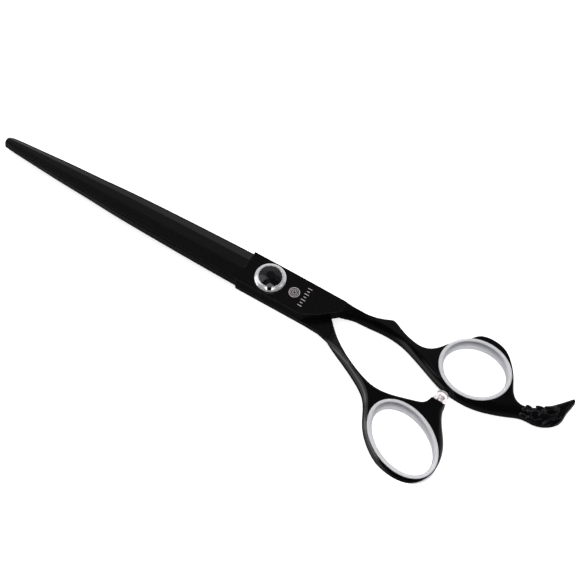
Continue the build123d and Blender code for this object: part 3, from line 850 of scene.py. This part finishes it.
def ring_insert(name, hole, bottom=None, n=300):
    """Insert swept round a hole, fitted to a bottom face that varies if one is given."""
    rim = ellipse(n=n, **hole)
    tangent = np.roll(rim, -1, 0) - np.roll(rim, 1, 0)
    tangent /= np.linalg.norm(tangent, axis=1, keepdims=True)
    inward = np.stack([-tangent[:, 1], tangent[:, 0]], 1)
    m = len(INSERT_PROFILE)
    verts, faces = [], []
    for k in range(n):
        for offset, z in INSERT_PROFILE:
            if offset > 0.1:                     # shallow moulded ribs on the inner wall
                wave = 0.5 + 0.5 * math.cos(2 * math.pi * k / RIB_STATIONS)
                offset = offset - RIB_DEPTH * wave * (abs(z) < RIB_HALF_HEIGHT)
            x, y = rim[k] + inward[k] * offset
            if bottom is not None and z < FIT_Z:
                low = float(bottom(np.array([x]), np.array([y]))[0])
                z = FIT_Z + (z - FIT_Z) * (FIT_Z - low) / (FIT_Z - RING_BOTTOM)
            verts.append((x, y, z))
        following = (k + 1) % n
        for i in range(m):
            j = (i + 1) % m
            faces.append((k * m + i, following * m + i, following * m + j, k * m + j))
    obj = make_solid(name, verts, faces, INSERT)
    crease(obj, 50)
    return obj


# ------------------------------------------------------------------ bumper and stud
# both are turned about a line along Y at BUMPER_X, so profiles are (radius, y)
BUMPER_X, SEAT_Y, BUMPER_TIP_Y, STUD_HEAD_Y = 64.0, -8.60, -4.42, -6.30
STUD_END_Y, STUD_RADIUS = -10.9, 0.75
THREAD_PITCH, THREAD_DEPTH = 0.24, 0.09


def turned_on_seat(name, profile, n, material, crease_angle):
    verts, faces = lathe(profile, n)
    verts = verts[:, [0, 2, 1]] + np.array((BUMPER_X, 0, 0))
    obj = make_solid(name, verts, faces, material)
    crease(obj, crease_angle)
    return obj


def bumper():
    head, tip, foot = STUD_HEAD_Y, BUMPER_TIP_Y, SEAT_Y + 0.02
    socket = [(0, head + 0.03), (0.93, head + 0.03), (0.93, head - 0.95), (0.78, head - 0.95)]
    # (radius, height above the foot)
    flange = [(0.78, 0), (2.26, 0), (2.34, 0.05), (2.37, 0.14), (2.37, 0.52), (2.33, 0.64),
              (2.22, 0.74), (2.08, 0.82), (2.00, 0.94), (1.99, 1.10), (2.01, 1.30)]
    # (radius, depth below the tip)
    dome = [(2.01, 1.35), (1.98, 1.10), (1.87, 0.80), (1.70, 0.55), (1.48, 0.36), (1.20, 0.20),
            (0.88, 0.10), (0.50, 0.035), (0.22, 0.01), (0, 0)]
    profile = (socket + [(radius, foot + rise) for radius, rise in flange]
               + [(radius, tip - drop) for radius, drop in dome])
    return turned_on_seat("bumper_turned", profile, 96, CLEAR, crease_angle=40)


def stud():
    """Grooved shank with a head that has a round recess in its end."""
    head, radius = STUD_HEAD_Y, STUD_RADIUS
    profile = [(0, STUD_END_Y), (radius - 0.2, STUD_END_Y), (radius, STUD_END_Y + 0.2)]
    y = -10.65
    while y < SEAT_Y + 1.2:
        profile += [(radius, y), (radius - THREAD_DEPTH, y + 0.10), (radius, y + 0.20)]
        y += THREAD_PITCH
    profile += [(radius, head - 0.92), (0.90, head - 0.92), (0.90, head - 0.13),
                (0.86, head - 0.05), (0.78, head - 0.01), (0.45, head - 0.01),
                (0.40, head - 0.25), (0, head - 0.25)]
    return turned_on_seat("bumper_stud_turned", profile, 64, STEEL, crease_angle=35)


# ------------------------------------------------------------------ tension dial and stone
DIAL_RADIUS, DIAL_BASE = 4.95, 3.06
# outer rim from the base up: (inset from the dial radius, rise above the base)
DIAL_RIM = [
    (0.15, 0), (0.05, 0.04), (0.005, 0.15), (0.005, 0.40), (0.05, 0.45), (0.05, 0.50),
    (0.005, 0.54), (0.02, 0.66), (0.10, 0.80), (0.25, 0.94), (0.45, 1.10), (0.68, 1.24),
    (0.90, 1.345), (1.05, 1.395), (1.15, 1.41)]
SLOT_ANGLE = math.radians(-64.0)
SLOT_HALF, SLOT_START, SLOT_END = 0.675, 3.40, 4.77      # half width, then radii
SLOT_FLOOR, SLOT_TOP = 3.70, 5.4


def cut_slot(obj):
    """Cuts the radial slot out of the dial's rim."""
    half, shoulder = SLOT_HALF, SLOT_END - 0.25
    outline = [(SLOT_START, -half), (shoulder, -half * 1.02), (SLOT_END, -half * 0.75),
               (SLOT_END, half * 0.75), (shoulder, half * 1.02), (SLOT_START, half)]
    cos, sin = math.cos(SLOT_ANGLE), math.sin(SLOT_ANGLE)
    turned = [(x * cos - y * sin, x * sin + y * cos) for x, y in outline]
    cutter = make_solid("cutter", *prism(turned, SLOT_FLOOR, SLOT_TOP), CHROME, smooth=False)
    boolean = obj.modifiers.new("slot", "BOOLEAN")
    boolean.operation, boolean.object, boolean.solver = "DIFFERENCE", cutter, "EXACT"
    depsgraph = bpy.context.evaluated_depsgraph_get()
    mesh = bpy.data.meshes.new_from_object(obj.evaluated_get(depsgraph))
    obj.modifiers.clear()
    obj.data = mesh
    bpy.data.objects.remove(cutter)


def in_slot(polygon):
    """Whether a face of the dial belongs to the slot's floor or walls."""
    x, y, z = (v / MM for v in polygon.center)
    cos, sin = math.cos(SLOT_ANGLE), math.sin(SLOT_ANGLE)
    along, across = x * cos + y * sin, abs(-x * sin + y * cos)
    on_floor = abs(z - SLOT_FLOOR) < 0.01
    on_wall = abs(across - SLOT_HALF) < 0.03 or along > SLOT_END - 0.26
    within = 3.3 < along < SLOT_END + 0.02 and across < 0.72 and z < 4.50
    return (within and (on_floor or on_wall) and polygon.normal.z < 0.3
            or 3.69 < along < SLOT_END and across < 0.7 and on_floor)


def dial():
    base = DIAL_BASE
    profile = [(0, 4.16), (1.43, 4.16), (1.43, 3.30), (1.86, 3.30), (1.86, 2.86), (3.95, 2.86),
               (3.95, base)]
    profile += [(DIAL_RADIUS - inset, base + rise) for inset, rise in DIAL_RIM]
    profile += [(3.745, base + 1.395), (3.70, base + 1.35), (3.695, base + 1.28),
                (3.695, 4.26), (0, 4.26)]
    obj = make_solid("tension_dial_turned", *lathe(profile, 240), CHROME)
    cut_slot(obj)
    mesh = obj.data
    mesh.materials.clear()
    mesh.materials.append(CHROME)
    mesh.materials.append(HANDLE)
    for polygon in mesh.polygons:
        if in_slot(polygon):
            polygon.material_index = 1
    crease(obj, 28)
    return obj


GEM_TURN = 0.11                # turn of the facets, in eighths of a circle


def gem():
    """Brilliant crown: table, star facets, kites, paired girdle facets, flat foot."""
    # rings from the table down to the foot: radius, z, points, turn in steps
    rings = [(1.45, 5.195, 8, GEM_TURN), (2.62, 4.868, 8, GEM_TURN + 0.5),
             (3.655, 4.41, 16, 2 * GEM_TURN), (3.655, 4.36, 16, 2 * GEM_TURN),
             (3.35, 4.305, 16, 2 * GEM_TURN)]
    verts = [(x, y, z) for radius, z, n, turn in rings for x, y in circle(radius, n, turn)]
    star, girdle, girdle_low, foot = 8, 16, 32, 48       # first vertex of each lower ring
    faces = [tuple(range(8))]
    for i in range(8):
        tip, corner = star + i, girdle + 2 * i
        faces += [(i, tip, (i + 1) % 8),
                  (i, star + (i - 1) % 8, corner, tip),
                  (tip, corner, corner + 1),
                  (tip, corner + 1, girdle + (2 * i + 2) % 16)]
    for upper, lower in ((girdle, girdle_low), (girdle_low, foot)):
        for k in range(16):
            j = (k + 1) % 16
            faces.append((upper + k, lower + k, lower + j, upper + j))
    faces.append(tuple(range(63, 47, -1)))
    return make_solid("dial_gem_cut", verts, faces, STONE, smooth=False)


# ------------------------------------------------------------------ etched mark
MARK_CENTRE = (8.7, -0.2)
MARK_Z = (2.885, 2.912)        # underside and top
PETAL = [(0.25, 0), (0.5, 0.11), (0.75, 0.14), (0.92, 0), (0.75, -0.14), (0.5, -0.11)]
TICK_X, TICK_START_Y, TICK_PITCH, TICK_HALF_WIDTH = 12.3, -3.3, 1.1, 0.11


def etched_mark():
    """Two rings round an eight-petal rosette, and a row of tick bars, on the finger blade."""
    verts, faces = [], []

    def add(shape):
        shape_verts, shape_faces = shape
        start = len(verts)
        verts.extend(shape_verts)
        faces.extend(tuple(start + i for i in face) for face in shape_faces)

    for outer, inner in ((1.75, 1.52), (1.22, 1.08)):
        add(band(circle(outer, 48, centre=MARK_CENTRE), circle(inner, 48, centre=MARK_CENTRE),
                 *MARK_Z))
    for k in range(8):
        cos, sin = math.cos(2 * math.pi * k / 8), math.sin(2 * math.pi * k / 8)
        add(prism([(MARK_CENTRE[0] + cos * x - sin * y, MARK_CENTRE[1] + sin * x + cos * y)
                   for x, y in PETAL], *MARK_Z))
    for k in range(7):
        y = TICK_START_Y + TICK_PITCH * k
        half = 0.75 if k % 2 == 0 else 0.45
        low, high = y - TICK_HALF_WIDTH, y + TICK_HALF_WIDTH
        add(prism([(TICK_X - half, low), (TICK_X + half, low),
                   (TICK_X + half, high), (TICK_X - half, high)], *MARK_Z))
    return make_solid("etched_mark", verts, faces, MARK, smooth=False)


# ------------------------------------------------------------------ assembly
def place(obj, body, node):
    """Lets a piece move with a body in place of its CAD node."""
    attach(obj, body)
    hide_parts(node)


finger_handle = Handle(finger_outline(), FINGER_HOLE, finger_faces, ornament=leaf_scroll)
place(sculpt("finger_handle_sculpted", finger_handle, FINGER_BOX), "finger_half", "finger_handle")
thumb_handle = Handle(thumb_outline(), THUMB_HOLE, thumb_faces)
place(sculpt("thumb_handle_sculpted", thumb_handle, THUMB_BOX), "thumb_half", "thumb_handle")
place(ring_insert("finger_ring_insert_moulded", FINGER_HOLE), "finger_half",
      "finger_ring_insert")
place(ring_insert("thumb_ring_insert_moulded", THUMB_HOLE, thumb_bottom), "thumb_half",
      "thumb_ring_insert")
place(bumper(), "thumb_half", "bumper")
place(stud(), "thumb_half", "bumper_stud")
place(dial(), "dial", "tension_dial")
place(gem(), "dial", "dial_gem")
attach(etched_mark(), "finger_half")


# ------------------------------------------------------------------ floor, light, camera
def floor():
    """White floor just under the scissors, not seen in reflections."""
    half, z = 3.0, CAD_BOX[0][2] - 0.00002
    mesh = bpy.data.meshes.new("floor")
    corners = [(-half, -half, z), (half, -half, z), (half, half, z), (-half, half, z)]
    mesh.from_pydata(corners, [], [(0, 1, 2, 3)])
    obj = link_object("floor", mesh)
    material = bpy.data.materials.new("floor_white")
    graph = Graph(material)
    output = graph.new("OutputMaterial")
    both = graph.new("AddShader")
    diffuse = graph.new("BsdfDiffuse")
    diffuse.inputs["Color"].default_value = (0.86, 0.86, 0.86, 1)
    glow = graph.new("Emission")
    glow.inputs["Strength"].default_value = 0.55
    graph.put(diffuse.outputs[0], both.inputs[0])
    graph.put(glow.outputs[0], both.inputs[1])
    graph.put(both.outputs[0], output.inputs["Surface"])
    mesh.materials.append(material)
    obj.visible_glossy = False


# Studio windows by direction. Each range is a component of the direction: fade-in start,
# full from, full to, fade-out end. OPEN and OPEN_END leave a side unbounded.
OPEN, OPEN_END = (-1.6, -1.5), (1.5, 1.6)
WINDOWS = [
    # dim overhead, behind the subject
    dict(right=None, up=(-0.04, 0.02, 0.40, 1.00), toward=OPEN + (-0.32, -0.12), level=0.36),
    # pale line of the table's far edge
    dict(right=None, up=(-0.40, -0.22, -0.05, 0.0), toward=OPEN + (-0.30, -0.10), level=0.8),
    # strong strip at the left
    dict(right=OPEN + (-0.93, -0.85), up=(-0.36, -0.26, 0.24, 0.38),
         toward=(-0.48, -0.32, 0.28, 0.42), level=2.0),
    # soft box above left
    dict(right=(-1.0, -0.94, -0.30, -0.14), up=(0.28, 0.42, 0.90, 0.98),
         toward=(-0.52, -0.40, 0.04, 0.16), level=0.85),
    # table below left
    dict(right=OPEN + (-0.72, -0.40), up=OPEN + (-0.40, -0.22),
         toward=(-0.5, -0.35, 0.35, 0.6), level=0.45),
    # table below right
    dict(right=(0.36, 0.56) + OPEN_END, up=OPEN + (-0.36, -0.18),
         toward=(-0.9, -0.8, 0.3, 0.6), level=0.45),
    # soft box at the right
    dict(right=(0.36, 0.50, 0.84, 0.93), up=(0.04, 0.14, 0.66, 0.78),
         toward=(-0.12, 0.0, 0.22, 0.32), level=0.6),
    # table below, camera side
    dict(right=(-0.6, -0.4, 0.4, 0.6), up=OPEN + (-0.60, -0.15),
         toward=(-0.1, 0.0) + OPEN_END, level=0.05)]
# brightness between the windows, and as plain light for each other kind of ray
DARK, DIFFUSE_LEVEL, CAMERA_LEVEL, TRANSMISSION_LEVEL = 0.012, 0.85, 0.93, 0.9


def world():
    """Studio of windows seen only in reflections; every other ray meets a plain level."""
    studio = bpy.data.worlds.new("studio")
    bpy.context.scene.world = studio
    graph = Graph(studio)
    output = graph.new("OutputWorld")
    background = graph.new("Background")
    graph.put(background.outputs[0], output.inputs[0])
    direction = graph.new("TexCoord").outputs["Generated"]
    toward = graph.dot(direction, TOWARD)
    right = graph.dot(direction, RIGHT)
    up = graph.dot(direction, (0, 0, 1))

    def ramp(value, start, end):
        return graph.remap(value, (start, end), interpolation_type="SMOOTHSTEP")

    reflected = DARK
    for window in WINDOWS:
        mask = None
        for value, name in ((right, "right"), (up, "up"), (toward, "toward")):
            if window[name] is None:
                continue
            start, full_from, full_to, end = window[name]
            fade_out = graph.math("SUBTRACT", 1.0, ramp(value, full_to, end))
            part = graph.math("MULTIPLY", ramp(value, start, full_from), fade_out)
            mask = part if mask is None else graph.math("MULTIPLY", mask, part)
        reflected = graph.math("ADD", reflected, graph.math("MULTIPLY", mask, window["level"]))

    ray = graph.new("LightPath").outputs
    level = graph.mix(ray["Is Glossy Ray"], DIFFUSE_LEVEL, reflected, "FLOAT")
    level = graph.mix(ray["Is Camera Ray"], level, CAMERA_LEVEL, "FLOAT")
    level = graph.mix(ray["Is Transmission Ray"], level, TRANSMISSION_LEVEL, "FLOAT")
    graph.put(level, background.inputs["Strength"])
    background.inputs["Color"].default_value = (1, 1, 1, 1)


def area(name, location, size, power, glossy=False):
    """Square light aimed at the pivot."""
    data = bpy.data.lights.new(name, "AREA")
    data.shape = "RECTANGLE"
    data.size = data.size_y = size
    data.energy = power
    obj = link_object(name, data)
    obj.location = location
    obj.rotation_mode = "QUATERNION"
    obj.rotation_quaternion = (-Vector(location)).to_track_quat("-Z", "Y")
    obj.visible_glossy = glossy
    return obj


def lights():
    area("key", location=(-0.5, 0.45, 0.9), size=0.7, power=6.0)
    area("fill", location=(0.6, -0.5, 0.8), size=0.8, power=3.0)
    # small card by the camera that only lights the dial, its stone, the bumper and its stud
    card = area("card", location=(TOWARD[0] * 0.36, TOWARD[1] * 0.36, 0.52), size=0.42,
                power=1.0, glossy=True)
    card.visible_camera = False
    lit = bpy.data.collections.new("card_lit")
    for name in ("tension_dial_turned", "dial_gem_cut", "bumper_turned", "bumper_stud_turned"):
        lit.objects.link(bpy.data.objects[name])
    card.light_linking.receiver_collection = lit


CAMERA_TARGET = Vector((6.4383, 1.2725, 0)) * MM
CAMERA_DISTANCE = 0.8
SENSOR_WIDTH, LENS = 36.0, 161.6577517         # mm


def camera():
    level = math.cos(ELEVATION)
    back = Vector((TOWARD[0] * level, TOWARD[1] * level, math.sin(ELEVATION)))
    flat_right = Vector(RIGHT)
    flat_up = back.cross(flat_right)
    cos, sin = math.cos(ROLL), math.sin(ROLL)
    right, up = cos * flat_right + sin * flat_up, -sin * flat_right + cos * flat_up
    data = bpy.data.cameras.new("camera")
    data.sensor_width = SENSOR_WIDTH
    data.lens = LENS
    data.clip_start, data.clip_end = 0.01, 20
    obj = link_object("camera", data)
    pose = Matrix.Identity(4)
    for i, column in enumerate((right, up, back, CAMERA_TARGET + back * CAMERA_DISTANCE)):
        for row in range(3):
            pose[row][i] = column[row]
    obj.matrix_world = pose
    bpy.context.scene.camera = obj


floor()
world()
lights()
camera()
scene = bpy.context.scene
scene.view_settings.view_transform = "Standard"
scene.view_settings.look = "None"
scene.cycles.max_bounces = 10
scene.cycles.transmission_bounces = 8
